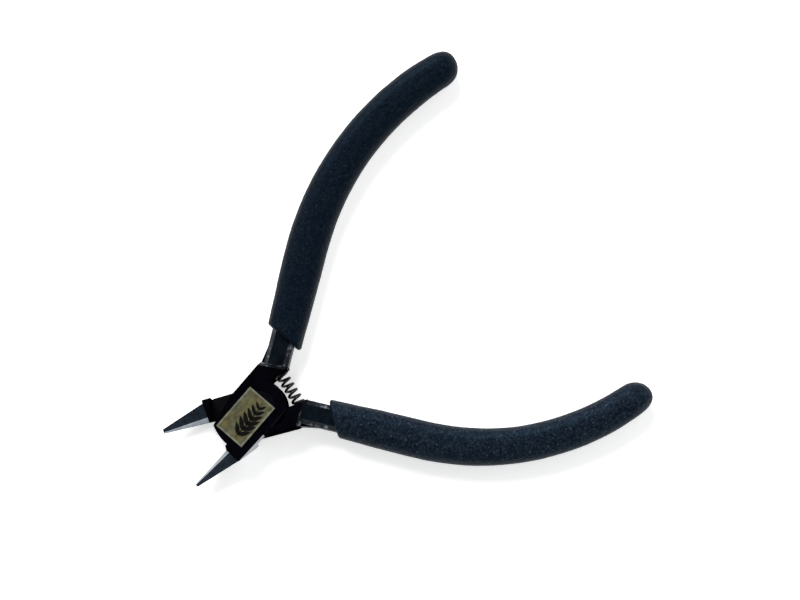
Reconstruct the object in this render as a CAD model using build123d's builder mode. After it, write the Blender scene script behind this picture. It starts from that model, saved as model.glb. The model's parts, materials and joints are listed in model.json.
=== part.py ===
"""Sprue nippers: two forged levers in a riveted lap joint, a coil return spring and soft grips.

Millimetres. The pivot axis is Z, +X runs along the tool towards the jaw tips, and the tool lies on its
back face at Z = 0 with the nameplate up. It stands fully open, so each lever is turned HALF_OPEN from
its closed place. A lever is drawn in its own frame, where it stands closed: the jaw is on +Y, and the
handle is on -Y. The lower lever is drawn the same way, with its half of the lap below, and mirrored in Y.
"""

import os
from math import acos, asin, cos, degrees, radians, sin, sqrt, tan

from build123d import *

# Motion and fits
HALF_OPEN = 17.3  # turn of each lever from closed to fully open, degrees
FACE_GAP = 0.05  # between the two sliding faces of the lap
SHOULDER_GAP = 0.15  # between a lap's round edge and the shoulder that it passes
STOP_GAP = 0.04  # at the flat shoulders that stop the tool when it is fully open
EDGE_GAP = 0.03  # between the two cutting edges when closed
RUNNING_GAP = 0.04  # radial, around the rivet

# Head, seen from above
THICK = 8.4
MID = THICK / 2
ROOT_INNER_X = 13.2  # where the black head ends and the ground jaw starts, at the cutting edge
ROOT_OUTER_X = 13.9  # and at the outer side
OPEN_SIDE_Y = 5.6  # edge of the head on the jaw's side
ROOT_SIDE_Y = 5.3  # the same edge at the jaw root
BACK_SIDE_Y = -7.35  # edge of the head on the handle's side
TAPER_X = 2.2  # where the upper lap's edge starts to slope in
UPPER_LAP_R = 12.6
UPPER_LAP_CORNER = -27.2  # angle of that lap's corner about the pivot, degrees
LOWER_LAP_R = 9.2
CROTCH_R = 6.9  # round end of both laps between the handles
BLOCK_INNER_Y = -2.2  # wall of the handle block that faces the spring, at the crotch
BLOCK_END_OUTER = (-7.7, BACK_SIDE_Y)
BLOCK_END_INNER = (-11.2, -1.2)
STEP_RUN = 1.1  # the slope from the block down to the neck takes this much along X
STEP_SQUARE = 0.82  # and this share of it square to the block's end

# Jaw
TIP_X = 25.7
TIP_WIDTH = 1.05
EDGE_LAND = 0.22  # height of the flat at the cutting edge
BACK_START_X = 10.5  # the back face starts to rise here
BACK_TIP_Z = 3.0
BEVEL_ANGLE = 63  # slope of the bright bevel, degrees
SHOULDER_RUN = 0.9  # the wall between the head and the jaw leans out by this over the full height
FACE_OUTER = (14.0, 5.2, 6.0)  # three points on the jaw's broad face
FACE_INNER = (14.0, 1.1, 3.2)
FACE_TIP = (TIP_X, TIP_WIDTH, 4.3)
FLANK_START = (7.9, OPEN_SIDE_Y, 0)  # the ground outer flank starts low here and widens to the jaw root
FLANK_ROOT = (ROOT_OUTER_X, ROOT_SIDE_Y, THICK)

# Handle: a straight run and then one long bend back towards the axis, a little harder on the lower lever
UPPER_HANDLE = {"angle": 26.86, "bend_start": (-38.06, -17.68), "bend_r": 74.8}
LOWER_HANDLE = {"angle": 28.23, "bend_start": (-37.77, -18.25), "bend_r": 65.3}
NECK_OFFSET = 0.2  # the steel runs this far outside the grip's centre line
NECK_WIDTH = 6.2
NECK_THICK = 6.0
NECK_CHAMFER = 1.15
NECK_START_X = -10.45
FLARE_END_X = -13  # the neck's outer side widens from here to the block's corner
TANG_START_X = -19
TANG_WIDTH = 4.8
TANG_THICK = 4.2
TANG_CORNER = 1.2
TANG_END_X = -91

# Grip
GRIP_FRONT_X = -17.3  # the grip's open end is square to the closed tool, not to the handle
GRIP_THICK = 8.36
GRIP_OUTER = [4.4, 4.7, 5.0, 5.05, 5.0, 4.95, 4.9, 4.85, 4.6]  # half widths, evenly spaced along it
GRIP_INNER = [4.6, 4.65, 4.85, 4.85, 4.7, 4.5, 4.35, 4.2, 3.9]
GRIP_DOME = 5.2  # length of the round end
UPPER_GRIP = {"end_x": -95.1, "tip_out": 1.3, "swell": 1.075}  # where the round end starts, its lean, width
LOWER_GRIP = {"end_x": -91.9, "tip_out": 1.1, "swell": 1.0}
GRIP_OVERRUN = 6  # drawn this much longer in front, then cut square
GRIP_ROUNDING = 3.7  # along the sides, above and below
GRIP_LIP_ROUNDING = 0.7  # around the open end
GRIP_CLEARANCE = 0.03

# Rivet
SHANK_R = 2.5
RIVET_HEAD_R = 4.0
RIVET_HEAD_THICK = 1.6
PEEN_R = 3.4
PEEN_DEPTH = 1.1
RIVET_SUNK = 0.06  # its head lies this far under the top; its peened end is flush with the back

# Return spring
SPRING_X = -8.95
SPRING_OD = 3.4
WIRE = 0.7
SPRING_PITCH = 1.67
SPRING_HALF = 7.2  # from the tool's axis to the bottom of each seat
SEAT_R = 2.05
SEAT_MOUTH_Y = 3.4
SPRING_END_GAP = 0.05

# Nameplate, in the upper lever's frame
PLATE_CENTRE = (4.25, -0.8)
PLATE_LENGTH = 13.1
PLATE_WIDTH = 8.5
PLATE_THICK = 0.32
PLATE_RIM = 0.45
PLATE_FIELD_DEPTH = 0.1
ADHESIVE_THICK = 0.08
ADHESIVE_INSET = 0.25

FAR = 60  # larger than the head, for cutting planes and boxes

os.makedirs("parts", exist_ok=True)

BACK_SLOPE = BACK_TIP_Z / (TIP_X - BACK_START_X)
UPPER_HALF = MID + FACE_GAP / 2
LOWER_HALF = MID - FACE_GAP / 2


def polar(radius, angle):
    return (radius * cos(radians(angle)), radius * sin(radians(angle)))


def run_end(handle, offset):
    """Where the handle's straight run ends, offset outward from the grip's centre line."""
    return Vector(handle["bend_start"]) + Vector(polar(offset, handle["angle"] - 90))


def line_point(handle, x, offset):
    """Point of the handle's straight run at x, offset outward from the grip's centre line."""
    along = Vector(polar(-1, handle["angle"]))
    start = run_end(handle, offset)
    return start + along * ((x - start.X) / along.X)


def handle_path(handle, first_x, last_x, offset):
    """The handle's centre line between two places on X, offset outward."""
    centre = run_end(handle, -handle["bend_r"])
    radius = handle["bend_r"] + offset
    sweep_start = handle["angle"] - 90
    sweep_end = -degrees(acos((last_x - centre.X) / radius))
    with BuildLine() as path:
        Line(line_point(handle, first_x, offset), run_end(handle, offset))
        CenterArc(centre, radius, sweep_start, sweep_end - sweep_start)
    return path.wire()


def through(a, b, c):
    """Plane through three points, with its normal up."""
    a, b, c = Vector(a), Vector(b), Vector(c)
    normal = (b - a).cross(c - a)
    if normal.Z < 0:
        normal = normal * -1
    return Plane(origin=a, z_dir=normal)


def back_plane():
    """The jaw's flat back, from the head's back face up to the tip."""
    return Plane(origin=(BACK_START_X, 0, 0), z_dir=(-BACK_SLOPE, 0, 1))


def bevel_plane():
    """The bright bevel, which rises from the land at the cutting edge."""
    rise = tan(radians(BEVEL_ANGLE))
    edge = (BACK_START_X, EDGE_GAP / 2, EDGE_LAND)
    further = (TIP_X, EDGE_GAP / 2, EDGE_LAND + BACK_TIP_Z)
    return through(edge, further, (BACK_START_X, EDGE_GAP / 2 + 1, EDGE_LAND + rise))


def flank_plane():
    """The ground outer flank, which runs from low on the head to the jaw's tip."""
    plane = through(FLANK_START, FLANK_ROOT, FACE_TIP)
    return plane if plane.z_dir.Y > 0 else -plane


def shoulder_plane():
    """The steep wall from the head's top down to the jaw."""
    foot = (ROOT_INNER_X + SHOULDER_RUN, 0, 0)
    return through((ROOT_INNER_X, 0, THICK), (ROOT_OUTER_X, ROOT_SIDE_Y, THICK), foot)


def head_outline(lap_r, lap_corner):
    """Plan of a lever's head, with the lap's round end of radius lap_r between the jaws."""
    crotch_side = (-sqrt(CROTCH_R**2 - OPEN_SIDE_Y**2), OPEN_SIDE_Y)
    crotch_block = (-sqrt(CROTCH_R**2 - BLOCK_INNER_Y**2), BLOCK_INNER_Y)
    corner = polar(lap_r, lap_corner)
    inner_end = (BLOCK_END_INNER[0] - STEP_RUN, BLOCK_END_INNER[1])
    outer_end = (BLOCK_END_OUTER[0] - STEP_RUN, BLOCK_END_OUTER[1])
    with BuildSketch() as head:
        with BuildLine():
            Polyline((lap_r, 0), (lap_r, EDGE_GAP / 2), (ROOT_INNER_X, EDGE_GAP / 2), (ROOT_OUTER_X, ROOT_SIDE_Y))
            Polyline((ROOT_OUTER_X, ROOT_SIDE_Y), (TAPER_X, OPEN_SIDE_Y), crotch_side)
            ThreePointArc(crotch_side, (-CROTCH_R, 0), crotch_block)
            Polyline(crotch_block, inner_end, outer_end, (TAPER_X, BACK_SIDE_Y), corner)
            ThreePointArc(corner, polar(lap_r, lap_corner / 2), (lap_r, 0))
        make_face()
    return head.sketch


def recess_outline(other_lap_r):
    """Plan of what the other lever's lap passes through between closed and open."""
    reach = OPEN_SIDE_Y + STOP_GAP
    with BuildSketch() as recess:
        with Locations(Location((0, 0), 2 * -HALF_OPEN)):
            with Locations((0, -reach)):
                Rectangle(2 * FAR, FAR, align=(Align.CENTER, Align.MIN))
        add(jaw_block(other_lap_r), mode=Mode.SUBTRACT)
        add(crotch_sweep())
    return recess.sketch


def jaw_block(other_lap_r):
    """Plan of what stays solid on the jaw's side of the other lap's round end."""
    with BuildSketch() as block:
        with Locations((0, EDGE_GAP / 2)):
            Rectangle(FAR, FAR, align=(Align.MIN, Align.MIN))
        Circle(other_lap_r + SHOULDER_GAP, mode=Mode.SUBTRACT)
    return block.sketch


def crotch_sweep():
    """Plan of the part of the other lap's end that turns past the handle block."""
    with BuildSketch() as sweep_area:
        Circle(CROTCH_R + SHOULDER_GAP)
        with Locations((0, -OPEN_SIDE_Y - SHOULDER_GAP)):
            Rectangle(FAR, FAR, align=(Align.CENTER, Align.MIN), mode=Mode.INTERSECT)
    return sweep_area.sketch


def jaw_outline():
    """Plan of the ground jaw."""
    root = ROOT_INNER_X - 0.1
    with BuildSketch() as jaw_plan:
        with BuildLine():
            Polyline(
                (root, EDGE_GAP / 2),
                (TIP_X, EDGE_GAP / 2),
                (TIP_X, TIP_WIDTH),
                (root, ROOT_SIDE_Y),
                close=True,
            )
        make_face()
    return jaw_plan.sketch


def jaw_blank():
    """The ground jaw in front of the head, without its flank and its back."""
    with BuildPart() as low:
        add(jaw_outline())
        extrude(amount=THICK)
        split(bisect_by=through(FACE_OUTER, FACE_INNER, FACE_TIP), keep=Keep.BOTTOM)
        split(bisect_by=bevel_plane(), keep=Keep.BOTTOM)
    with BuildPart() as shoulder:
        add(jaw_outline())
        extrude(amount=THICK)
        split(bisect_by=shoulder_plane(), keep=Keep.BOTTOM)
        add(low.part)
    return shoulder.part


def bar(path, width, thick, corner):
    """Steel bar with cut corners along a path, half way up the tool."""
    start = Plane(origin=path @ 0, x_dir=(path % 0).cross(Vector(0, 0, 1)), z_dir=path % 0)
    with BuildPart() as steel:
        with BuildSketch(start) as section:
            Rectangle(width, thick)
            chamfer(section.vertices(), corner)
        sweep(path=path)
    return steel.part.moved(Location((0, 0, MID)))


def neck(handle, first_x, last_x, growth):
    """The neck's straight bar between two places on X, grown on every side."""
    with BuildLine() as path:
        Line(line_point(handle, first_x, NECK_OFFSET), line_point(handle, last_x, NECK_OFFSET))
    return bar(path.wire(), NECK_WIDTH + 2 * growth, NECK_THICK + 2 * growth, NECK_CHAMFER)


def neck_flare(handle):
    """The wider root of the neck, on its outer side."""
    corner = (BLOCK_END_OUTER[0] - STEP_RUN, BLOCK_END_OUTER[1])
    meets_neck = line_point(handle, FLARE_END_X, NECK_OFFSET + NECK_WIDTH / 2)
    within_neck = line_point(handle, corner[0], NECK_OFFSET)
    height = NECK_THICK - 2 * NECK_CHAMFER
    with BuildPart() as flare:
        with BuildSketch(Plane.XY.offset(MID - height / 2)):
            with BuildLine():
                Polyline(corner, (meets_neck.X, meets_neck.Y), (within_neck.X, within_neck.Y), close=True)
            make_face()
        extrude(amount=height)
    return flare.part


def tang(handle, first_x, growth):
    """The bent bar inside the grip, grown on every side."""
    path = handle_path(handle, first_x, TANG_END_X - growth, NECK_OFFSET)
    return bar(path, TANG_WIDTH + 2 * growth, TANG_THICK + 2 * growth, TANG_CORNER)


def lever_blank(handle, lap_r, lap_corner, other_lap_r, recess_from, recess_to):
    """A lever in its own closed frame: head, jaw, neck and tang, with its half of the lap open."""
    end_x = (BLOCK_END_INNER[0] + BLOCK_END_OUTER[0]) / 2 - STEP_RUN
    step_drop = (THICK - NECK_THICK) / 2
    with BuildPart() as lever:
        add(head_outline(lap_r, lap_corner))
        extrude(amount=THICK)
        block_end = lever.faces().sort_by_distance((end_x, BACK_SIDE_Y / 2, MID))[0]
        step_edges = block_end.edges().filter_by(Axis.Z, reverse=True)
        chamfer(step_edges, length=step_drop, length2=STEP_RUN * STEP_SQUARE, reference=block_end)
        add(jaw_blank())
        split(bisect_by=flank_plane(), keep=Keep.BOTTOM)
        split(bisect_by=back_plane(), keep=Keep.TOP)
        add(neck(handle, NECK_START_X, TANG_START_X, 0))
        add(neck_flare(handle))
        add(tang(handle, TANG_START_X + 0.5, 0))
        with BuildSketch(Plane.XY.offset(recess_from)):
            add(recess_outline(other_lap_r))
        extrude(amount=recess_to - recess_from, mode=Mode.SUBTRACT)
    return lever.part


def grip_blank(handle, end_x, tip_out, swell):
    """A soft grip in its lever's closed frame, hollow for the neck and the tang."""
    path = handle_path(handle, GRIP_FRONT_X + GRIP_OVERRUN, end_x, 0)
    outer = []
    inner = []
    for step, (outer_half, inner_half) in enumerate(zip(GRIP_OUTER, GRIP_INNER)):
        part_way = step / (len(GRIP_OUTER) - 1)
        side = (path % part_way).rotate(Axis.Z, 90)
        outer.append(path @ part_way + side * outer_half * swell)
        inner.append(path @ part_way - side * inner_half * swell)
    end_run = path % 1
    tip = path @ 1 + end_run * GRIP_DOME + end_run.rotate(Axis.Z, 90) * tip_out
    with BuildPart() as grip:
        with BuildSketch(Plane.XY.offset(MID - GRIP_THICK / 2)):
            with BuildLine():
                Spline(*outer)
                Spline(outer[-1], tip, inner[-1], tangents=[end_run, end_run * -1])
                Spline(*inner)
                Line(outer[0], inner[0])
            make_face()
        extrude(amount=GRIP_THICK)
        sides = grip.edges().filter_by(lambda e: abs(e.center().Z - MID) > 1 and e.geom_type != GeomType.LINE)
        fillet(sides, GRIP_ROUNDING)
        split(bisect_by=Plane(origin=(GRIP_FRONT_X, 0, 0), z_dir=(1, 0, 0)), keep=Keep.BOTTOM)
        fillet(grip.faces().sort_by(Axis.X)[-1].edges(), GRIP_LIP_ROUNDING)
        add(neck(handle, GRIP_FRONT_X + 3, TANG_START_X - GRIP_CLEARANCE, GRIP_CLEARANCE), mode=Mode.SUBTRACT)
        add(tang(handle, TANG_START_X + 1, GRIP_CLEARANCE), mode=Mode.SUBTRACT)
    return grip.part


def spring_seat(side):
    """Blind bore for one end of the spring; side is -1 for the upper lever and 1 for the lower."""
    with BuildPart() as seat:
        mouth = Plane(origin=(SPRING_X, side * SEAT_MOUTH_Y, MID), z_dir=(0, side, 0))
        with BuildSketch(mouth):
            Circle(SEAT_R)
        extrude(amount=SPRING_HALF - SEAT_MOUTH_Y)
    return seat.part


UPPER_TURN = Location((0, 0, 0), (0, 0, HALF_OPEN))
LOWER_TURN = Location((0, 0, 0), (0, 0, -HALF_OPEN))

lower_lap_corner = -degrees(asin(-BACK_SIDE_Y / LOWER_LAP_R))
upper_shape = lever_blank(UPPER_HANDLE, UPPER_LAP_R, UPPER_LAP_CORNER, LOWER_LAP_R, -1, UPPER_HALF)
lower_blank = lever_blank(LOWER_HANDLE, LOWER_LAP_R, lower_lap_corner, UPPER_LAP_R, LOWER_HALF, THICK + 1)
lower_shape = lower_blank.mirror(Plane.XZ)
head_floor = THICK - RIVET_SUNK - RIVET_HEAD_THICK

# Upper lever: the plate side, with the rivet's head sunk in it
with BuildPart() as upper_lever:
    with Locations(UPPER_TURN):
        add(upper_shape)
    with Locations((0, 0, MID)):
        Cylinder(SHANK_R + RUNNING_GAP, THICK, mode=Mode.SUBTRACT)
    with BuildSketch(Plane.XY.offset(head_floor - RUNNING_GAP)):
        Circle(RIVET_HEAD_R + RUNNING_GAP)
    extrude(amount=THICK, mode=Mode.SUBTRACT)
    add(spring_seat(-1), mode=Mode.SUBTRACT)
upper_lever.part.label = "upper_lever"
export_step(upper_lever.part, "parts/upper_lever.step")

# Lower lever: the rivet is peened into its back
with BuildPart() as lower_lever:
    with Locations(LOWER_TURN):
        add(lower_shape)
    with BuildSketch(Plane.XZ):
        with BuildLine():
            Polyline((0, -1), (PEEN_R, -1), (PEEN_R, 0), (SHANK_R, PEEN_DEPTH))
            Polyline((SHANK_R, PEEN_DEPTH), (SHANK_R, THICK), (0, THICK), (0, -1))
        make_face()
    revolve(axis=Axis.Z, mode=Mode.SUBTRACT)
    add(spring_seat(1), mode=Mode.SUBTRACT)
lower_lever.part.label = "lower_lever"
export_step(lower_lever.part, "parts/lower_lever.step")

# Pivot rivet
with BuildPart() as pivot_rivet:
    with BuildSketch(Plane.XZ):
        with BuildLine():
            Polyline(
                (0, 0),
                (PEEN_R, 0),
                (SHANK_R, PEEN_DEPTH),
                (SHANK_R, head_floor),
                (RIVET_HEAD_R, head_floor),
                (RIVET_HEAD_R, THICK - RIVET_SUNK),
                (0, THICK - RIVET_SUNK),
                close=True,
            )
        make_face()
    revolve(axis=Axis.Z)
pivot_rivet.part.label = "pivot_rivet"
export_step(pivot_rivet.part, "parts/pivot_rivet.step")

# Return spring, in two blind seats
coil_height = 2 * SPRING_HALF - WIRE - 2 * SPRING_END_GAP
with BuildPart() as return_spring:
    with BuildLine() as coil:
        Helix(
            pitch=SPRING_PITCH,
            height=coil_height,
            radius=(SPRING_OD - WIRE) / 2,
            center=(SPRING_X, -coil_height / 2, MID),
            direction=(0, 1, 0),
        )
    with BuildSketch(Plane(origin=coil.line @ 0, z_dir=coil.line % 0)):
        Circle(WIRE / 2)
    sweep(path=coil.line)
return_spring.part.label = "return_spring"
export_step(return_spring.part, "parts/return_spring.step")

# Grips
with BuildPart() as upper_grip:
    with Locations(UPPER_TURN):
        add(grip_blank(UPPER_HANDLE, **UPPER_GRIP))
upper_grip.part.label = "upper_grip"
export_step(upper_grip.part, "parts/upper_grip.step")

with BuildPart() as lower_grip:
    with Locations(LOWER_TURN):
        add(grip_blank(LOWER_HANDLE, **LOWER_GRIP).mirror(Plane.XZ))
lower_grip.part.label = "lower_grip"
export_step(lower_grip.part, "parts/lower_grip.step")

# Nameplate with a raised rim, and the film that holds it
with BuildPart() as nameplate:
    with BuildSketch(Plane.XY.offset(THICK + ADHESIVE_THICK)):
        with Locations(UPPER_TURN):
            with Locations(PLATE_CENTRE):
                Rectangle(PLATE_LENGTH, PLATE_WIDTH)
    extrude(amount=PLATE_THICK)
    with BuildSketch(Plane.XY.offset(THICK + ADHESIVE_THICK + PLATE_THICK)):
        with Locations(UPPER_TURN):
            with Locations(PLATE_CENTRE):
                Rectangle(PLATE_LENGTH - 2 * PLATE_RIM, PLATE_WIDTH - 2 * PLATE_RIM)
    extrude(amount=-PLATE_FIELD_DEPTH, mode=Mode.SUBTRACT)
nameplate.part.label = "nameplate"
export_step(nameplate.part, "parts/nameplate.step")

with BuildPart() as nameplate_adhesive:
    with BuildSketch(Plane.XY.offset(THICK)):
        with Locations(UPPER_TURN):
            with Locations(PLATE_CENTRE):
                Rectangle(PLATE_LENGTH - 2 * ADHESIVE_INSET, PLATE_WIDTH - 2 * ADHESIVE_INSET)
    extrude(amount=ADHESIVE_THICK)
nameplate_adhesive.part.label = "nameplate_adhesive"
export_step(nameplate_adhesive.part, "parts/nameplate_adhesive.step")
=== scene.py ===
"""Sprue nippers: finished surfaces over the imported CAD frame."""

import json
from math import atan2, cos, pi, radians, sin

import bmesh
import bpy
from mathutils import Matrix, Vector, noise


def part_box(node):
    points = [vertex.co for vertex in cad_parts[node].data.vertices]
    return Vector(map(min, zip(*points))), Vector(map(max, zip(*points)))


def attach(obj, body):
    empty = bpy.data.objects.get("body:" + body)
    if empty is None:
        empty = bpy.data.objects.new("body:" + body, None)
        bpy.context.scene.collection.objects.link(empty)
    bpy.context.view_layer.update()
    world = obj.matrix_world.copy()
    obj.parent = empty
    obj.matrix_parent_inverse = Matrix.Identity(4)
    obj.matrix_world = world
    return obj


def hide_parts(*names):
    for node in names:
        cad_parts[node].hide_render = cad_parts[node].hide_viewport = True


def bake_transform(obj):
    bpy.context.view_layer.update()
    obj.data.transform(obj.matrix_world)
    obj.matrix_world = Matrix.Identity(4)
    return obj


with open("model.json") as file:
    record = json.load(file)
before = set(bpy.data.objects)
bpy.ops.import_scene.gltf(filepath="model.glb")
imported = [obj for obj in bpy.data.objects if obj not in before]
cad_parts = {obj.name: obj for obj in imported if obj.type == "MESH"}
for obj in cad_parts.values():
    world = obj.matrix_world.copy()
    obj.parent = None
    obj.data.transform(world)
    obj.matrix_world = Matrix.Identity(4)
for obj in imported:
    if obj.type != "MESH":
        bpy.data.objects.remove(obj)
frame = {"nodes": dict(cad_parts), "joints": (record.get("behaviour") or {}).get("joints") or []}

# The start-up scene's own objects go first, so that they don't count in the bounds
for name in ("Cube", "Light", "Camera"):
    if name in bpy.data.objects:
        bpy.data.objects.remove(bpy.data.objects[name])
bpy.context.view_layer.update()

MM = 0.001
WELD = 0.001 * MM  # points nearer than this are one point
PIVOT = next(joint for joint in frame["joints"] if joint["name"] == "pivot")
HALF_OPEN = radians(PIVOT["range_deg"][1] / 2)
MID_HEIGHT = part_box("upper_lever")[1].z / 2  # of the steel, where the two levers lap

# ---------------------------------------------------------------- node materials


class Nodes:
    """A new node material with a Principled shader and short calls to add to it."""

    def __init__(self, name, **sockets):
        self.material = bpy.data.materials.new(name)
        self.material.use_nodes = True
        self.tree = self.material.node_tree
        self.shader = self.tree.nodes["Principled BSDF"]
        self.place = self.tree.nodes.new("ShaderNodeTexCoord").outputs["Object"]
        for socket, value in sockets.items():
            self.shader.inputs[socket.replace("_", " ")].default_value = value

    def link(self, source, target):
        """Joins an output to an input."""
        self.tree.links.new(source, target)

    def stretched(self, turn, scale):
        """Object coordinates turned about Z, then scaled, for marks that run one way."""
        mapping = self.tree.nodes.new("ShaderNodeMapping")
        mapping.vector_type = "TEXTURE"
        mapping.inputs["Rotation"].default_value = (0, 0, turn)
        mapping.inputs["Scale"].default_value = scale
        self.link(self.place, mapping.inputs["Vector"])
        return mapping.outputs["Vector"]

    def noise(self, size, detail=3.0, vector=None, roughness=0.55):
        """Noise whose blobs are about size metres across."""
        node = self.tree.nodes.new("ShaderNodeTexNoise")
        node.inputs["Scale"].default_value = 1 / size
        node.inputs["Detail"].default_value = detail
        node.inputs["Roughness"].default_value = roughness
        self.link(vector or self.place, node.inputs["Vector"])
        return node.outputs["Fac"]

    def cells(self, size):
        """Height of rounded cells about size metres across."""
        node = self.tree.nodes.new("ShaderNodeTexVoronoi")
        node.inputs["Scale"].default_value = 1 / size
        self.link(self.place, node.inputs["Vector"])
        return node.outputs["Distance"]

    def spread(self, value, low, high, to_low=0.0, to_high=1.0):
        """Maps a value from one range to another, clamped."""
        node = self.tree.nodes.new("ShaderNodeMapRange")
        node.inputs["From Min"].default_value = low
        node.inputs["From Max"].default_value = high
        node.inputs["To Min"].default_value = to_low
        node.inputs["To Max"].default_value = to_high
        self.link(value, node.inputs["Value"])
        return node.outputs["Result"]

    def times(self, first, second):
        """Product of two values."""
        node = self.tree.nodes.new("ShaderNodeMath")
        node.operation = "MULTIPLY"
        self.link(first, node.inputs[0])
        self.link(second, node.inputs[1])
        return node.outputs["Value"]

    def colours(self, value, *stops):
        """Colour ramp through (position, (r, g, b)) stops."""
        ramp = self.tree.nodes.new("ShaderNodeValToRGB")
        while len(ramp.color_ramp.elements) < len(stops):
            ramp.color_ramp.elements.new(1.0)
        for element, (position, colour) in zip(ramp.color_ramp.elements, stops):
            element.position = position
            element.color = (*colour, 1.0)
        self.link(value, ramp.inputs["Fac"])
        return ramp.outputs["Color"]

    def mix(self, share, first, second):
        """Blend of two colours, all first where share is 0 and all second where it is 1."""
        node = self.tree.nodes.new("ShaderNodeMix")
        node.data_type = "RGBA"
        self.link(share, node.inputs["Factor"])
        self.link(first, node.inputs["A"])
        self.link(second, node.inputs["B"])
        return node.outputs["Result"]

    def bump(self, value, depth, strength=1.0):
        """Adds a height map of this depth in metres on top of any earlier one."""
        node = self.tree.nodes.new("ShaderNodeBump")
        node.inputs["Strength"].default_value = strength
        node.inputs["Distance"].default_value = depth
        self.link(value, node.inputs["Height"])
        before = self.shader.inputs["Normal"].links
        if before:
            self.link(before[0].from_socket, node.inputs["Normal"])
        self.link(node.outputs["Normal"], self.shader.inputs["Normal"])

    def base(self, colour):
        """Sets the colour of the surface."""
        self.link(colour, self.shader.inputs["Base Color"])

    def rough(self, value):
        """Sets the roughness of the surface."""
        self.link(value, self.shader.inputs["Roughness"])

    def rough_spots(self, size, detail, low, high):
        """Roughness that wanders between low and high, in spots about size metres across."""
        self.rough(self.spread(self.noise(size, detail), 0.3, 0.7, low, high))


def head_black(name, gloss):
    """Black oxide over a fine forged skin."""
    m = Nodes(name, Specular_IOR_Level=gloss)
    patches = m.noise(3 * MM, 4)
    m.base(m.colours(patches, (0.3, (0.0003, 0.0003, 0.0010)), (0.7, (0.0011, 0.0011, 0.0028))))
    m.rough_spots(0.5 * MM, 4, 0.42, 0.58)
    m.bump(m.noise(0.25 * MM, 3), 0.006 * MM)
    m.bump(m.noise(1.6 * MM, 2), 0.02 * MM)
    return m.material


def neck_blue():
    """Dark blued steel on the bare stretch between the head and the grip."""
    m = Nodes("neck_blue", Metallic=0.2, Specular_IOR_Level=0.08)
    patches = m.noise(2 * MM, 5)
    m.base(m.colours(patches, (0.3, (0.0002, 0.0015, 0.0035)), (0.72, (0.003, 0.007, 0.012))))
    m.rough_spots(0.6 * MM, 4, 0.28, 0.5)
    m.bump(m.noise(0.4 * MM, 3), 0.01 * MM)
    return m.material


def painted_highlight_edge():
    """Chamfers and the slopes from the block down to the neck, paler in patches as painted highlight
    along the neck's edges.
    """
    m = Nodes("painted_highlight_edge", Metallic=0.6)
    patches = m.noise(1.6 * MM, 4)
    dark = (0.001, 0.0025, 0.005)
    dull = (0.006, 0.010, 0.016)
    # The palest stop is painted highlight, not bare steel.
    bare = (0.2, 0.225, 0.26)
    m.base(m.colours(patches, (0.40, dark), (0.56, dull), (0.70, bare)))
    m.rough_spots(0.3 * MM, 3, 0.25, 0.45)
    m.bump(m.noise(0.3 * MM, 3), 0.008 * MM)
    return m.material


def ground_steel(name, turn, dark, light, rough_low, rough_high):
    """Ground metal with grinding lines that run across the direction of turn."""
    m = Nodes(name, Metallic=0.9)
    lines = m.noise(1.0, 4, m.stretched(turn, (0.05 * MM, 1.4 * MM, 1.4 * MM)))
    patches = m.spread(m.noise(1.8 * MM, 3), 0.25, 0.75, 0.7, 1.3)
    m.base(m.colours(m.times(lines, patches), (0.3, dark), (0.62, light)))
    m.rough(m.spread(lines, 0.3, 0.7, rough_low, rough_high))
    m.bump(lines, 0.004 * MM, 0.8)
    return m.material


def grip_rubber(name, light):
    """Matte blue-black rubber, pebbled and finely specked; light scales its paler tones, a painted
    brightness that lightens one grip's copy and darkens the other's.
    """
    m = Nodes(name, Specular_IOR_Level=0.1, Specular_Tint=(0.3, 0.6, 1.0, 1.0))
    mottle = m.noise(0.8 * MM, 5, roughness=0.75)
    blotch = m.noise(7 * MM, 3)
    # Painted brightness: light scales the pale tones and specks up for the lit grip and down for the
    # shaded one.
    pale = tuple(light * tone for tone in (0.0085, 0.0130, 0.0195))
    speck = tuple(light * tone for tone in (0.024, 0.031, 0.039))
    fine = m.colours(mottle, (0.38, (0.0001, 0.0008, 0.0030)), (0.64, pale))
    wide = m.colours(blotch, (0.35, (0.0002, 0.0018, 0.0058)), (0.65, (0.0012, 0.0040, 0.0080)))
    half = m.spread(m.noise(2.5 * MM, 2), 0.35, 0.65, 0.05, 0.5)
    specks = m.noise(0.55 * MM, 2)
    bright = m.colours(specks, (0.5, (0.004, 0.006, 0.009)), (0.75, speck))
    m.base(m.mix(m.spread(specks, 0.58, 0.68), m.mix(half, fine, wide), bright))
    m.rough_spots(0.5 * MM, 3, 0.42, 0.6)
    m.bump(m.cells(0.5 * MM), 0.06 * MM, 0.8)
    m.bump(m.noise(0.4 * MM, 3), 0.06 * MM, 0.8)
    m.bump(m.noise(2.2 * MM, 3), 0.07 * MM, 0.5)
    return m.material


def spring_wire():
    """Black drawn wire with a slight sheen and light drawing marks."""
    m = Nodes("spring_wire", Metallic=0.3, Specular_IOR_Level=0.4)
    patches = m.noise(0.5 * MM, 3)
    m.base(m.colours(patches, (0.35, (0.002, 0.002, 0.003)), (0.7, (0.012, 0.013, 0.016))))
    m.rough_spots(0.2 * MM, 2, 0.25, 0.42)
    m.bump(m.noise(0.15 * MM, 2), 0.003 * MM)
    return m.material


def plate_metal(name, dark, light, tint):
    """Dull pressed metal with olive tarnish."""
    m = Nodes(name, Metallic=0.35, Specular_IOR_Level=0.4)
    mottle = m.noise(1.3 * MM, 4)
    cloud = m.noise(4.5 * MM, 2)
    plain = m.colours(mottle, (0.3, dark), (0.7, light))
    warm = m.colours(mottle, (0.3, dark), (0.7, tint))
    m.base(m.mix(m.spread(cloud, 0.42, 0.66), plain, warm))
    m.rough_spots(0.4 * MM, 3, 0.42, 0.6)
    m.bump(m.noise(0.3 * MM, 3), 0.012 * MM)
    return m.material


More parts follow.
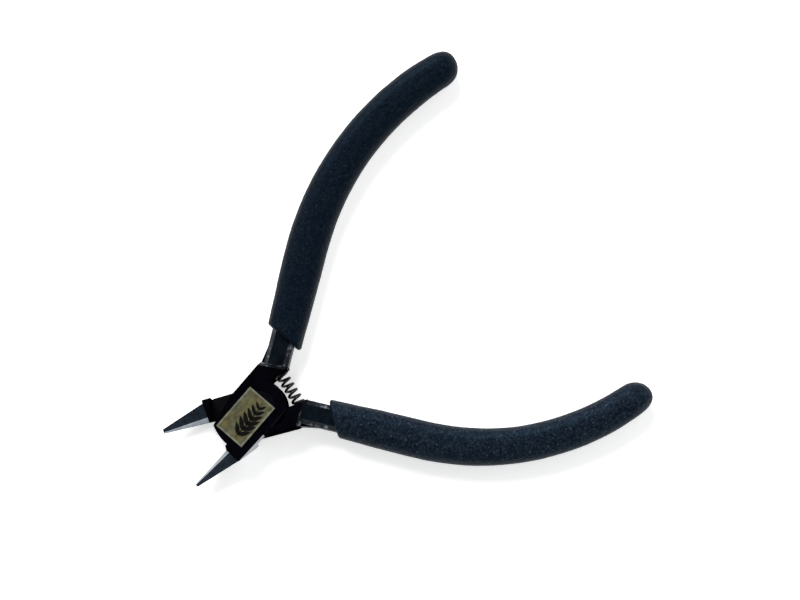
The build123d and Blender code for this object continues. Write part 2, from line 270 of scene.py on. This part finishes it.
def motif_paint():
    """Black filled paint in the plate's motif."""
    m = Nodes("motif_paint", Specular_IOR_Level=0.06)
    patches = m.noise(0.5 * MM, 3)
    m.base(m.colours(patches, (0.3, (0.0008, 0.0008, 0.001)), (0.75, (0.006, 0.0055, 0.005))))
    m.rough_spots(0.3 * MM, 3, 0.4, 0.6)
    m.bump(m.noise(0.2 * MM, 2), 0.01 * MM)
    return m.material


def rivet_steel():
    """Peened steel, blackened with the levers and barely rubbed."""
    m = Nodes("rivet_steel", Metallic=0.1, Specular_IOR_Level=0.04)
    patches = m.noise(0.7 * MM, 4)
    m.base(m.colours(patches, (0.35, (0.0004, 0.0004, 0.0012)), (0.75, (0.0018, 0.0018, 0.0035))))
    m.rough_spots(0.4 * MM, 3, 0.4, 0.58)
    m.bump(m.cells(1.1 * MM), 0.03 * MM, 0.5)
    return m.material


def adhesive_film():
    """Dark double-sided film whose edge shows around the plate."""
    m = Nodes("adhesive_film")
    m.base(m.colours(m.noise(0.4 * MM, 2), (0.3, (0.01, 0.01, 0.008)), (0.7, (0.03, 0.028, 0.022))))
    m.rough_spots(0.3 * MM, 2, 0.6, 0.8)
    return m.material


# ---------------------------------------------------------------- levers and grips


def closed_frame(upper):
    """Turns the open tool's frame into one lever's closed frame, its jaw on the +Y side."""
    if upper:
        return Matrix.Rotation(-HALF_OPEN, 4, "Z")
    return Matrix.Scale(-1, 4, (0, 1, 0)) @ Matrix.Rotation(HALF_OPEN, 4, "Z")


def add_piece(name, mesh, body, materials, replaced=None):
    """Puts a mesh into the scene as a piece; with no body, it is left unattached for the caller."""
    piece = bpy.data.objects.new(name, mesh)
    bpy.context.scene.collection.objects.link(piece)
    for material in materials:
        mesh.materials.append(material)
    if replaced:
        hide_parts(replaced)
    if body:
        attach(piece, body)
    return piece


def cleaned(node):
    """The node's own faces as one welded bmesh, with its flat faces whole again."""
    bm = bmesh.new()
    bm.from_mesh(frame["nodes"][node].data)
    bmesh.ops.remove_doubles(bm, verts=bm.verts, dist=WELD)
    bmesh.ops.dissolve_limit(bm, angle_limit=radians(1), verts=bm.verts, edges=bm.edges)
    return bm


LEVER_FINISHES = ("head", "side", "neck", "edge_highlight", "wall", "face", "bevel", "lap")
JAW_ROOT_X = 13.9 * MM
SHOULDER_LENGTH = 1 * MM  # faces across the tool within this of the jaw's root are its shoulder
WALL_START_X = -4.4 * MM
BLOCK_END_X = -7.6 * MM
NECK_X = -11 * MM  # every face behind this is the neck's
FLARE_X = -12 * MM  # the slopes from the block down to the neck end before this
INNER_FACE_Y = -2.3 * MM  # the block's face towards the spring lies above this
LAP_REACH = 0.1 * MM  # a lap face lies this near the middle of the steel
EDGE_BREAK = 0.13 * MM


def lever_finish(centre, normal):
    """Which finish a lever face has, from its place and direction in the closed frame."""
    if centre.x > JAW_ROOT_X:
        if normal.x > 0.9:
            return "head" if centre.x < JAW_ROOT_X + SHOULDER_LENGTH else "bevel"
        if normal.y > 0.5:
            return "side"
        if normal.y < -0.8:
            return "bevel"
        return "face"
    if centre.x < BLOCK_END_X and not (centre.y > INNER_FACE_Y and normal.y > 0.9):
        # Chamfers and the slopes down to the neck get the painted-highlight finish.
        if normal.x < -0.6 and abs(normal.z) < 0.9 and centre.x > FLARE_X:
            return "edge_highlight"
        if centre.x < NECK_X or abs(normal.y) > 0.5:
            return "edge_highlight" if 0.2 < abs(normal.z) < 0.9 else "neck"
    if normal.y > 0.9 and centre.x > WALL_START_X:
        return "wall"
    if abs(normal.z) > 0.9 and abs(centre.z - MID_HEIGHT) < LAP_REACH:
        return "lap"
    return "side" if abs(normal.z) < 0.3 else "head"


def make_lever(node, body, upper, finishes):
    """The forged lever with its edges broken and each of its faces in its own finish."""
    to_closed = closed_frame(upper)
    bm = cleaned(node)
    bm.transform(to_closed)
    if not upper:
        bmesh.ops.reverse_faces(bm, faces=bm.faces)
    bmesh.ops.bisect_plane(
        bm,
        geom=bm.verts[:] + bm.edges[:] + bm.faces[:],
        dist=WELD,
        plane_co=(JAW_ROOT_X, 0, 0),
        plane_no=(1, 0, 0),
    )
    bm.normal_update()
    for face in bm.faces:
        finish = lever_finish(face.calc_center_median(), face.normal)
        face.material_index = LEVER_FINISHES.index(finish)
    if not upper:
        bmesh.ops.reverse_faces(bm, faces=bm.faces)
    bm.transform(to_closed.inverted())
    mesh = bpy.data.meshes.new(node + "_forging")
    bm.to_mesh(mesh)
    bm.free()
    piece = add_piece(node + "_forging", mesh, body, finishes, node)
    bevel = piece.modifiers.new("broken_edges", "BEVEL")
    bevel.width = EDGE_BREAK
    bevel.segments = 2
    bevel.limit_method = "ANGLE"
    bevel.angle_limit = radians(22)
    bevel.harden_normals = True
    return piece


SKIN_VOXEL = 0.36 * MM
PEBBLE_SIZE = 0.8 * MM
PEBBLE_HEIGHT = 0.035
WAVE_SIZE = 5.0 * MM
WAVE_HEIGHT = 0.06
SKIN_DROP = 0.05  # keeps the waves inside the sleeve's own outline


def make_grip(node, body, material):
    """The dipped rubber sleeve, with the slight waves and pebbles of its skin."""
    bm = cleaned(node)
    mesh = bpy.data.meshes.new(node + "_sleeve")
    bm.to_mesh(mesh)
    bm.free()
    piece = add_piece(node + "_sleeve", mesh, None, [material], node)
    remesh = piece.modifiers.new("even_skin", "REMESH")
    remesh.mode = "VOXEL"
    remesh.voxel_size = SKIN_VOXEL
    smooth = piece.modifiers.new("relax", "SMOOTH")
    smooth.iterations = 3
    shown = piece.evaluated_get(bpy.context.evaluated_depsgraph_get())
    skin = bpy.data.meshes.new_from_object(shown)
    piece.modifiers.clear()
    piece.data = skin
    heights = []
    for vertex in skin.vertices:
        pebble = noise.noise(vertex.co / PEBBLE_SIZE)
        wave = noise.noise(vertex.co / WAVE_SIZE)
        heights.append((PEBBLE_HEIGHT * pebble + WAVE_HEIGHT * wave - SKIN_DROP) * MM)
    normals = [Vector(vertex.normal) for vertex in skin.vertices]
    for vertex, normal, height in zip(skin.vertices, normals, heights):
        vertex.co += normal * height
    for polygon in skin.polygons:
        polygon.use_smooth = True
    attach(piece, body)
    return piece


# ---------------------------------------------------------------- return spring

COIL_PITCH = 1.67 * MM
WIRE_R = 0.35 * MM
RINGS_PER_TURN = 36
WIRE_SIDES = 12


def make_spring(material):
    """Open coil of round wire; a share of the turn about the pivot is worked out for each slice of the
    wire, but it is not put on the mesh.
    """
    low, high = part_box("return_spring")
    axis_x = (low.x + high.x) / 2
    axis_z = (low.z + high.z) / 2
    coil_r = (high.x - low.x) / 2 - WIRE_R
    length = (high.y - low.y) - 2 * WIRE_R
    turns = length / COIL_PITCH
    count = int(turns * RINGS_PER_TURN)
    lead = atan2(COIL_PITCH, 2 * pi * coil_r)
    half_angle = atan2(high.y, -axis_x)
    bm = bmesh.new()
    rings = []
    weights = []
    for index in range(count + 1):
        share = index / count
        angle = -2 * pi * turns * share
        out = Vector((cos(angle), 0, sin(angle)))
        along = Vector((sin(angle) * cos(lead), sin(lead), -cos(angle) * cos(lead)))
        side = along.cross(out)
        centre_y = low.y + WIRE_R + length * share
        centre = Vector((axis_x, centre_y, axis_z)) + coil_r * out
        ring = []
        for step in range(WIRE_SIDES):
            turn = 2 * pi * step / WIRE_SIDES
            ring.append(bm.verts.new(centre + WIRE_R * (cos(turn) * out + sin(turn) * side)))
        rings.append(ring)
        reach = atan2(centre_y, -axis_x)
        weights += [min(max((half_angle - reach) / (2 * half_angle), 0), 1)] * WIRE_SIDES
    for first, second in zip(rings, rings[1:]):
        for step in range(WIRE_SIDES):
            after = (step + 1) % WIRE_SIDES
            bm.faces.new((first[step], second[step], second[after], first[after])).smooth = True
    bm.faces.new(rings[0])
    bm.faces.new(list(reversed(rings[-1])))
    bmesh.ops.recalc_face_normals(bm, faces=bm.faces)
    mesh = bpy.data.meshes.new("coil_spring")
    bm.to_mesh(mesh)
    bm.free()
    piece = add_piece("coil_spring", mesh, None, [material], "return_spring")
    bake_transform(piece)
    return piece


# ---------------------------------------------------------------- nameplate

# Places on the plate are u along the tool and v across it, from the plate's centre.
# The sprig's sizes are in millimetres.
PLATE_CENTRE = Vector((4.25 * MM, -0.8 * MM, 0))
PLATE_SIZE = (13.1 * MM, 8.5 * MM)
PLATE_RIM = 0.45 * MM
PLATE_SINK = 0.1 * MM
PLATE_EDGE = 0.06 * MM  # chamfer around the top
RIM_SLOPE = 0.05 * MM  # half the run of the slope from the rim down to the field
INK_HEIGHT = 0.07 * MM
INK_DEPTH = 0.02 * MM  # the paint's foot lies this far under the field
RIM_SLOT = 1  # places in the plate's list of materials; its field is the first
PAINT_SLOT = 2
BLADE_STEPS = 10
STEM_START = (5.5, 1.3)
STEM_LENGTH = 11.2
STEM_TURN = 176  # degrees, from the plate's long axis
STEM_WIDTH = 0.34
BEND_SHARE = 0.1  # a blade's end lies this share of its length off its line
BEND_TURN = 12  # degrees by which the bend turns the stem at its end
LEAF_SPREAD = 44  # degrees between a leaf and the stem
LEAF_LENGTHS = (3.3, 3.6, 3.5, 3.2, 2.7, 2.1)  # of each pair, from the stem's foot
LEAF_WIDTH_SHARE = 0.34


def placed(start, turn, along, across):
    """Point that lies along and across a direction, turned by this many degrees, from start."""
    c, s = cos(radians(turn)), sin(radians(turn))
    return start[0] + along * c - across * s, start[1] + along * s + across * c


def bend(length, share):
    """How far a bent blade or stem lies off its line, this share of the way along."""
    return BEND_SHARE * length * share * share


def blade_outline(start, turn, length, width):
    """Outline of a leaf blade: pointed at both ends, widest before its middle, slightly bent."""
    left = []
    right = []
    for step in range(BLADE_STEPS + 1):
        share = step / BLADE_STEPS
        half = 0.5 * width * sin(pi * share**0.75) ** 0.8
        off = bend(length, share)
        left.append((share * length, off + half))
        right.append((share * length, off - half))
    outline = []
    for along, across in left + right[-2:0:-1]:
        u, v = placed(start, turn, along, across)
        outline.append((u * MM, v * MM))
    return outline


def sprig_outlines():
    """A bent stem with pairs of leaves, evenly spaced, and a short bare end."""
    outlines = [blade_outline(STEM_START, STEM_TURN, STEM_LENGTH, STEM_WIDTH)]
    for pair, length in enumerate(LEAF_LENGTHS):
        share = (pair + 0.5) / (len(LEAF_LENGTHS) + 0.8)
        foot = placed(STEM_START, STEM_TURN, share * STEM_LENGTH, bend(STEM_LENGTH, share))
        for side in (-1, 1):
            turn = STEM_TURN + BEND_TURN * share + side * LEAF_SPREAD
            outlines.append(blade_outline(foot, turn, length, length * LEAF_WIDTH_SHARE))
    return outlines


def add_prism(bm, points, low, high, index):
    """Closed prism over an outline of (u, v) points, with this material index."""
    base = [bm.verts.new((u, v, low)) for u, v in points]
    top = [bm.verts.new((u, v, high)) for u, v in points]
    faces = [bm.faces.new(top), bm.faces.new(list(reversed(base)))]
    for corner in range(len(points)):
        after = (corner + 1) % len(points)
        faces.append(bm.faces.new((base[corner], base[after], top[after], top[corner])))
    for face in faces:
        face.material_index = index


def make_nameplate(materials):
    """Pressed plate with a raised rim and a painted sprig of leaves, with no lettering."""
    low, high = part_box("nameplate")
    half_u, half_v = PLATE_SIZE[0] / 2, PLATE_SIZE[1] / 2
    bm = bmesh.new()
    loops = []
    for inset, height in (
        (0.0, low.z),
        (0.0, high.z - PLATE_EDGE),
        (PLATE_EDGE, high.z),
        (PLATE_RIM - RIM_SLOPE, high.z),
        (PLATE_RIM + RIM_SLOPE, high.z - PLATE_SINK),
    ):
        u, v = half_u - inset, half_v - inset
        corners = ((-u, -v), (u, -v), (u, v), (-u, v))
        loops.append([bm.verts.new((x, y, height)) for x, y in corners])
    for first, second in zip(loops, loops[1:]):
        for corner in range(4):
            after = (corner + 1) % 4
            face = bm.faces.new((first[corner], first[after], second[after], second[corner]))
            face.material_index = RIM_SLOT
    bm.faces.new(loops[-1])
    bm.faces.new(list(reversed(loops[0])))
    field = high.z - PLATE_SINK
    for outline in sprig_outlines():
        add_prism(bm, outline, field - INK_DEPTH, field + INK_HEIGHT, PAINT_SLOT)
    bm.transform(closed_frame(True).inverted() @ Matrix.Translation(PLATE_CENTRE))
    bmesh.ops.recalc_face_normals(bm, faces=bm.faces)
    mesh = bpy.data.meshes.new("pressed_nameplate")
    bm.to_mesh(mesh)
    bm.free()
    return add_piece("pressed_nameplate", mesh, "upper_half", materials, "nameplate")


def finish_node(node, material):
    """Gives a CAD node that keeps its shape a better material."""
    for slot in frame["nodes"][node].material_slots:
        slot.material = material


# ---------------------------------------------------------------- the pieces, made

lever_finishes = [
    head_black("head_black", 0.01),
    head_black("head_side_black", 0.0),
    neck_blue(),
    painted_highlight_edge(),
    ground_steel("wall_ground", 0, (0.15, 0.165, 0.18), (0.34, 0.365, 0.39), 0.28, 0.42),
    ground_steel("jaw_face_ground", pi / 2, (0.0006, 0.0018, 0.004), (0.014, 0.021, 0.032), 0.26, 0.42),
    ground_steel("bevel_ground", pi / 2, (0.13, 0.155, 0.18), (0.27, 0.3, 0.33), 0.2, 0.34),
    ground_steel("lap_ground", 0, (0.0008, 0.0008, 0.0012), (0.004, 0.004, 0.006), 0.4, 0.55),
]
# One rubber in two copies: the upper grip's is darkened as painted shade, the lower grip's lightened as
# painted light.
upper_rubber_painted_shade = grip_rubber("grip_rubber_painted_shade", 0.55)
lower_rubber_painted_lit = grip_rubber("grip_rubber_painted_lit", 1.7)
make_lever("upper_lever", "upper_half", True, lever_finishes)
make_lever("lower_lever", "lower_half", False, lever_finishes)
make_grip("upper_grip", "upper_half", upper_rubber_painted_shade)
make_grip("lower_grip", "lower_half", lower_rubber_painted_lit)
make_spring(spring_wire())
make_nameplate(
    [
        plate_metal("plate_field", (0.04, 0.041, 0.019), (0.12, 0.117, 0.058), (0.14, 0.1, 0.022)),
        plate_metal("plate_rim", (0.09, 0.095, 0.07), (0.2, 0.21, 0.155), (0.19, 0.185, 0.12)),
        motif_paint(),
    ]
)
finish_node("pivot_rivet", rivet_steel())
finish_node("nameplate_adhesive", adhesive_film())

# ---------------------------------------------------------------- floor, light and camera

TILT = radians(7.9)
TARGET = Vector((-44.66, -5.21, 0)) * MM
VIEW_WIDTH = 204.9 * MM
CAMERA_DISTANCE = 1.07
TOOL_TURN = radians(31.95)
SENSOR_WIDTH = 36
WALL_LIGHT = 0.5
WALL_TOP = 0.35  # height of the view direction at which the walls start to dim
CEILING_LIGHT = 0.1
CEILING_EDGE = 0.9
FLOOR_HALF = 1.5
FLOOR_Z = -0.02 * MM  # just clear of the tool's back


def pale_floor():
    """Nearly white, matte and faintly lit from within, so that shadows stay light."""
    m = Nodes("pale_floor", Roughness=0.9, Specular_IOR_Level=0.1, Emission_Strength=0.5)
    m.shader.inputs["Emission Color"].default_value = (1.0, 1.0, 1.0, 1.0)
    m.base(m.colours(m.noise(0.2, 2), (0.3, (0.9, 0.9, 0.9)), (0.7, (0.94, 0.94, 0.94))))
    return m.material


def make_floor():
    """Wide flat pale floor under the tool."""
    bm = bmesh.new()
    corners = ((-1, -1), (1, -1), (1, 1), (-1, 1))
    bm.faces.new([bm.verts.new((FLOOR_HALF * x, FLOOR_HALF * y, FLOOR_Z)) for x, y in corners])
    mesh = bpy.data.meshes.new("floor")
    bm.to_mesh(mesh)
    bm.free()
    floor = bpy.data.objects.new("floor", mesh)
    bpy.context.scene.collection.objects.link(floor)
    mesh.materials.append(pale_floor())


def add_sun(name, direction, strength, spread):
    """Broad soft light that falls evenly over the whole floor from this direction."""
    data = bpy.data.lights.new(name, "SUN")
    data.energy = strength
    data.angle = radians(spread)
    lamp = bpy.data.objects.new(name, data)
    bpy.context.scene.collection.objects.link(lamp)
    lamp.rotation_euler = Vector(direction).to_track_quat("Z", "Y").to_euler()


def make_camera():
    """Looks down on the tool, tilted a little, with the tool turned in the view."""
    toward_x = Vector((1, 0, 0))
    toward_y = Vector((0, cos(TILT), -sin(TILT)))
    away = Vector((0, sin(TILT), cos(TILT)))
    right = sin(TOOL_TURN) * toward_y - cos(TOOL_TURN) * toward_x
    up = away.cross(right)
    data = bpy.data.cameras.new("camera")
    data.sensor_width = SENSOR_WIDTH
    data.lens = SENSOR_WIDTH * CAMERA_DISTANCE / VIEW_WIDTH
    data.clip_start = 0.01
    camera = bpy.data.objects.new("camera", data)
    bpy.context.scene.collection.objects.link(camera)
    turn = Matrix((right, up, away)).transposed().to_4x4()
    camera.matrix_world = Matrix.Translation(TARGET + CAMERA_DISTANCE * away) @ turn
    bpy.context.scene.camera = camera


def make_world():
    """White studio walls under a dim ceiling, so that level steel faces stay dark."""
    world = bpy.data.worlds.new("studio")
    world.use_nodes = True
    tree = world.node_tree
    background = tree.nodes["Background"]
    place = tree.nodes.new("ShaderNodeTexCoord").outputs["Generated"]
    split = tree.nodes.new("ShaderNodeSeparateXYZ")
    height = tree.nodes.new("ShaderNodeMapRange")
    height.interpolation_type = "SMOOTHSTEP"
    height.inputs["From Min"].default_value = WALL_TOP
    height.inputs["From Max"].default_value = CEILING_EDGE
    height.inputs["To Min"].default_value = WALL_LIGHT
    height.inputs["To Max"].default_value = CEILING_LIGHT
    tree.links.new(place, split.inputs["Vector"])
    tree.links.new(split.outputs["Z"], height.inputs["Value"])
    tree.links.new(height.outputs["Result"], background.inputs["Strength"])
    background.inputs["Color"].default_value = (0.96, 0.98, 1.0, 1)
    bpy.context.scene.world = world


make_floor()
make_world()
add_sun("key", (-0.15, -1.0, 0.85), 3.6, 36)
add_sun("fill", (0.1, 1.0, 0.8), 0.7, 60)
add_sun("side", (-1.0, 0.1, 0.8), 0.7, 60)
make_camera()
bpy.context.scene.view_settings.view_transform = "Standard"
